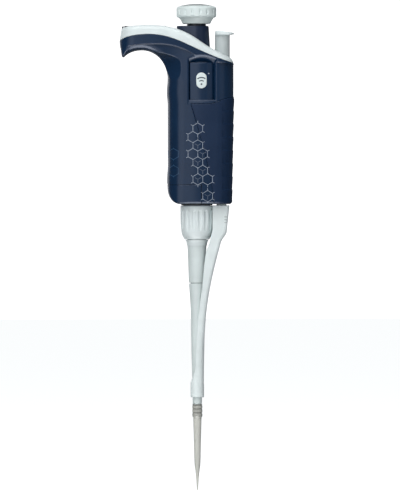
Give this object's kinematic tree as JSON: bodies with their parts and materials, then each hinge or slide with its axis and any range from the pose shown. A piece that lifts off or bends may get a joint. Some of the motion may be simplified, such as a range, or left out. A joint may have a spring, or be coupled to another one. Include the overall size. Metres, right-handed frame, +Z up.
{
  "type": "electronic pipette",
  "caption": "Hand-held motor-driven pipette with a finger hook, screen and keys, press-and-turn knob, tip ejector with collar, screwed-on barrel and a disposable tip.",
  "frame": {"origin": "centre of the disposable tip's outlet, on the plunger axis", "axes": "+Z up along the plunger axis towards the knob; -X towards the finger hook; +X towards the ejector; the pictured side is -Y"},
  "size_m": [0.0676, 0.031, 0.286],
  "materials": {
    "handle_plastic": "satin",
    "pale_plastic": "satin",
    "collar_plastic": "satin",
    "grip_rubber": "matte",
    "badge_plastic": "satin",
    "lens_clear": "polished",
    "display_body": "matte",
    "key_rubber": "matte",
    "circuit_board": "satin",
    "battery_wrap": "satin",
    "plated_steel": "satin",
    "knob_plastic": "satin",
    "knob_cap_plastic": "satin",
    "stem_plastic": "satin",
    "spring_steel": "satin",
    "switch_plastic": "satin",
    "polished_steel": "polished",
    "bearing_plastic": "satin",
    "arm_plastic": "satin",
    "motor_steel": "satin",
    "rotor_iron": "machined",
    "bracket_plastic": "satin",
    "black_rubber": "matte",
    "barrel_plastic": "satin",
    "seal_plastic": "satin",
    "tip_plastic": "translucent"
  },
  "bodies": {
    "handle": {"handle_shell_near": "handle_plastic", "handle_shell_far": "handle_plastic", "lower_cap": "handle_plastic", "top_cover": "pale_plastic", "plunger_collar": "collar_plastic", "grip_panel": "grip_rubber", "side_panel_near": "handle_plastic", "side_panel_far": "handle_plastic", "wireless_badge": "badge_plastic", "display_lens": "lens_clear", "display_module": "display_body", "key_mat": "key_rubber", "control_board": "circuit_board", "main_board": "circuit_board", "wireless_module": "circuit_board", "battery": "battery_wrap", "charging_socket": "plated_steel", "plunger_switch": "switch_plastic", "switch_board": "circuit_board", "ejector_guide": "bearing_plastic", "drive_motor": "motor_steel", "motor_bearings": "polished_steel", "motor_bracket": "bracket_plastic", "motor_screws": "plated_steel", "threaded_spigot": "bracket_plastic", "spigot_gasket": "black_rubber", "barrel": "barrel_plastic", "nose_cone": "barrel_plastic", "piston_seal": "seal_plastic", "seal_o_ring": "black_rubber", "seal_retainer": "bracket_plastic", "shell_screws": "plated_steel", "board_screws": "plated_steel"},
    "plunger": {"plunger_stem": "stem_plastic", "knob_screw": "plated_steel", "plunger_spring": "spring_steel"},
    "knob": {"plunger_knob": "knob_plastic", "knob_cap": "knob_cap_plastic"},
    "ejector": {"ejector_button": "pale_plastic", "ejector_rod": "polished_steel", "ejector_arm": "arm_plastic", "ejector_spring": "spring_steel"},
    "tip": {"pipette_tip": "tip_plastic"},
    "nut_ring": {"nut_ring": "pale_plastic"},
    "nut": {"connecting_nut": "pale_plastic"},
    "rotor": {"motor_rotor": "rotor_iron"},
    "piston": {"piston": "polished_steel", "piston_cap": "bearing_plastic", "drive_screw": "polished_steel", "piston_spring": "spring_steel"},
    "key_left": {"key_left": "key_rubber"},
    "key_enter": {"key_enter": "key_rubber"},
    "key_right": {"key_right": "key_rubber"}
  },
  "joints": [
    {"name": "plunger_press", "type": "slide", "parent": "handle", "child": "plunger", "axis": [0, 0, -1], "range_m": [0, 0.001], "stiffness_N_per_m": 600, "springref_m": -0.003, "deforming": ["plunger_spring"]},
    {"name": "knob_turn", "type": "hinge", "parent": "plunger", "child": "knob", "pos_m": [0, 0, 0.279], "axis": [0, 0, 1], "continuous": true},
    {"name": "ejector_press", "type": "slide", "parent": "handle", "child": "ejector", "axis": [0, 0, -1], "range_m": [0, 0.008], "stiffness_N_per_m": 400, "springref_m": -0.006, "deforming": ["ejector_spring"]},
    {"name": "tip_eject", "type": "slide", "parent": "handle", "child": "tip", "axis": [0, 0, -1], "range_m": [0, 0.004]},
    {"name": "nut_drop", "type": "slide", "parent": "handle", "child": "nut_ring", "axis": [0, 0, -1], "range_m": [0, 0.0015]},
    {"name": "nut_turn", "type": "hinge", "parent": "nut_ring", "child": "nut", "pos_m": [0, 0, 0.157], "axis": [0, 0, -1], "range_deg": [0, 360]},
    {"name": "motor_spin", "type": "hinge", "parent": "handle", "child": "rotor", "pos_m": [0, 0, 0.208], "axis": [0, 0, -1], "range_deg": [0, 2160]},
    {"name": "piston_stroke", "type": "slide", "parent": "handle", "child": "piston", "axis": [0, 0, -1], "range_m": [0, 0.012], "deforming": ["piston_spring"]},
    {"name": "key_left_press", "type": "slide", "parent": "handle", "child": "key_left", "axis": [0, 0, -1], "range_m": [0, 0.0005], "stiffness_N_per_m": 500, "springref_m": -0.001},
    {"name": "key_enter_press", "type": "slide", "parent": "handle", "child": "key_enter", "axis": [0, 0, -1], "range_m": [0, 0.0005], "stiffness_N_per_m": 500, "springref_m": -0.001},
    {"name": "key_right_press", "type": "slide", "parent": "handle", "child": "key_right", "axis": [0, 0, -1], "range_m": [0, 0.0005], "stiffness_N_per_m": 500, "springref_m": -0.001}
  ],
  "couplings": [
    {"joint": "tip_eject", "follows": "ejector_press", "ratio": 0.5},
    {"joint": "nut_turn", "follows": "nut_drop", "rad_per_m": 4188.8},
    {"joint": "motor_spin", "follows": "piston_stroke", "rad_per_m": 3141.6}
  ]
}
